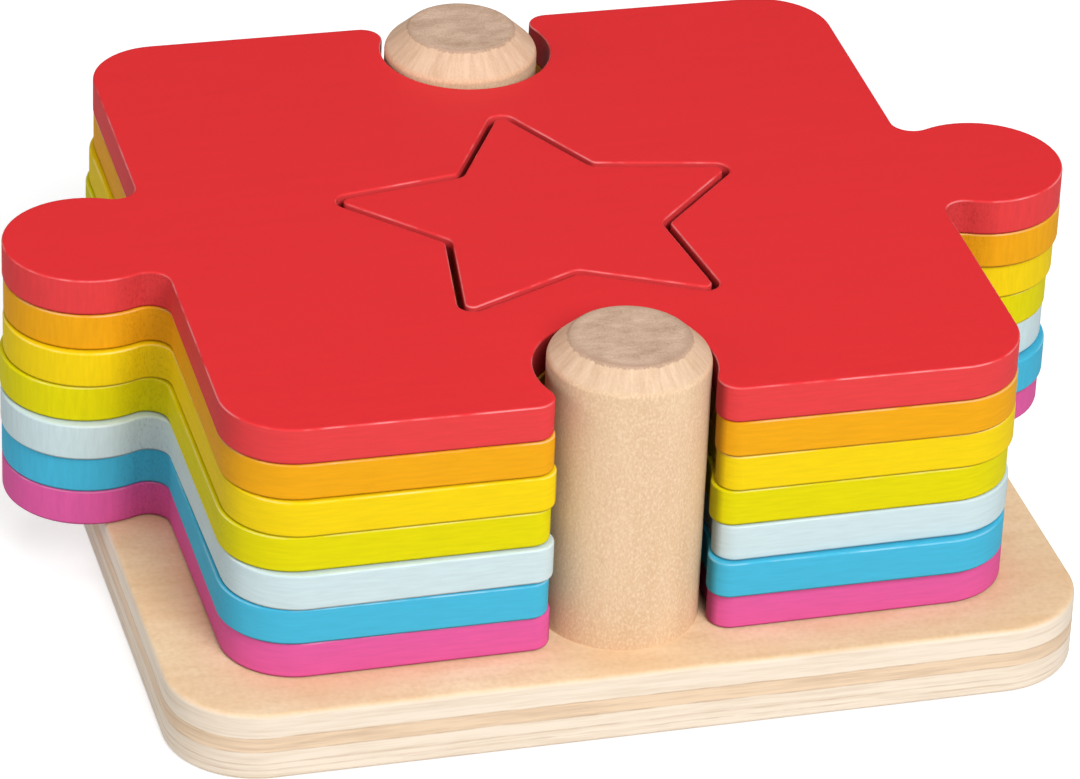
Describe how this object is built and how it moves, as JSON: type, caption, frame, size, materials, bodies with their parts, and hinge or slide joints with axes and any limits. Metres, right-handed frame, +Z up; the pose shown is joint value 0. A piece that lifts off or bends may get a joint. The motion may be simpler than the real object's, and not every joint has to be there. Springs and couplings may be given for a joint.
{
  "type": "shape board",
  "caption": "Wooden stacking shape board: coloured jigsaw plates with lift-out shape inlays, held between two round posts on a plywood base.",
  "frame": {"origin": "centre of the base board's underside", "axes": "+Z up along the posts, +X towards the tabs on the right, -Y towards the front post and the viewer"},
  "size_m": [0.1799, 0.1476, 0.0622],
  "materials": {
    "base_plywood": "clear matt lacquer on plywood, plies showing on the edge",
    "beech": "bare sanded beech",
    "screw_steel": "zinc plated",
    "pink_paint": "satin pink paint on plywood",
    "blue_paint": "satin blue paint on plywood",
    "pale_blue_paint": "satin pale blue paint on plywood",
    "lime_paint": "satin lime green paint on plywood",
    "yellow_paint": "satin yellow paint on plywood",
    "orange_paint": "satin orange paint on plywood",
    "red_paint": "satin red paint on plywood"
  },
  "bodies": {
    "base": {"base_board": "base_plywood", "front_post": "beech", "back_post": "beech", "front_screw": "screw_steel", "back_screw": "screw_steel"},
    "pink_plate": {"pink_plate": "pink_paint"},
    "diamond_inlay": {"diamond_inlay": "pink_paint"},
    "blue_plate": {"blue_plate": "blue_paint"},
    "cross_inlay": {"cross_inlay": "blue_paint"},
    "pale_blue_plate": {"pale_blue_plate": "pale_blue_paint"},
    "hexagon_inlay": {"hexagon_inlay": "pale_blue_paint"},
    "lime_plate": {"lime_plate": "lime_paint"},
    "triangle_inlay": {"triangle_inlay": "lime_paint"},
    "yellow_plate": {"yellow_plate": "yellow_paint"},
    "square_inlay": {"square_inlay": "yellow_paint"},
    "orange_plate": {"orange_plate": "orange_paint"},
    "circle_inlay": {"circle_inlay": "orange_paint"},
    "red_plate": {"red_plate": "red_paint"},
    "star_inlay": {"star_inlay": "red_paint"}
  },
  "joints": [
    {"name": "pink_plate_lift", "type": "slide", "parent": "base", "child": "pink_plate", "axis": [0, 0, 1], "range_m": [0, 0.054]},
    {"name": "diamond_inlay_lift", "type": "slide", "parent": "pink_plate", "child": "diamond_inlay", "axis": [0, 0, 1], "range_m": [0, 0.01]},
    {"name": "blue_plate_lift", "type": "slide", "parent": "diamond_inlay", "child": "blue_plate", "axis": [0, 0, 1], "range_m": [0, 0.0475]},
    {"name": "cross_inlay_lift", "type": "slide", "parent": "blue_plate", "child": "cross_inlay", "axis": [0, 0, 1], "range_m": [0, 0.01]},
    {"name": "pale_blue_plate_lift", "type": "slide", "parent": "cross_inlay", "child": "pale_blue_plate", "axis": [0, 0, 1], "range_m": [0, 0.041]},
    {"name": "hexagon_inlay_lift", "type": "slide", "parent": "pale_blue_plate", "child": "hexagon_inlay", "axis": [0, 0, 1], "range_m": [0, 0.01]},
    {"name": "lime_plate_lift", "type": "slide", "parent": "hexagon_inlay", "child": "lime_plate", "axis": [0, 0, 1], "range_m": [0, 0.0345]},
    {"name": "triangle_inlay_lift", "type": "slide", "parent": "lime_plate", "child": "triangle_inlay", "axis": [0, 0, 1], "range_m": [0, 0.01]},
    {"name": "yellow_plate_lift", "type": "slide", "parent": "triangle_inlay", "child": "yellow_plate", "axis": [0, 0, 1], "range_m": [0, 0.028]},
    {"name": "square_inlay_lift", "type": "slide", "parent": "yellow_plate", "child": "square_inlay", "axis": [0, 0, 1], "range_m": [0, 0.01]},
    {"name": "orange_plate_lift", "type": "slide", "parent": "square_inlay", "child": "orange_plate", "axis": [0, 0, 1], "range_m": [0, 0.0215]},
    {"name": "circle_inlay_lift", "type": "slide", "parent": "orange_plate", "child": "circle_inlay", "axis": [0, 0, 1], "range_m": [0, 0.01]},
    {"name": "red_plate_lift", "type": "slide", "parent": "circle_inlay", "child": "red_plate", "axis": [0, 0, 1], "range_m": [0, 0.015]},
    {"name": "star_inlay_lift", "type": "slide", "parent": "red_plate", "child": "star_inlay", "axis": [0, 0, 1], "range_m": [0, 0.01]}
  ]
}
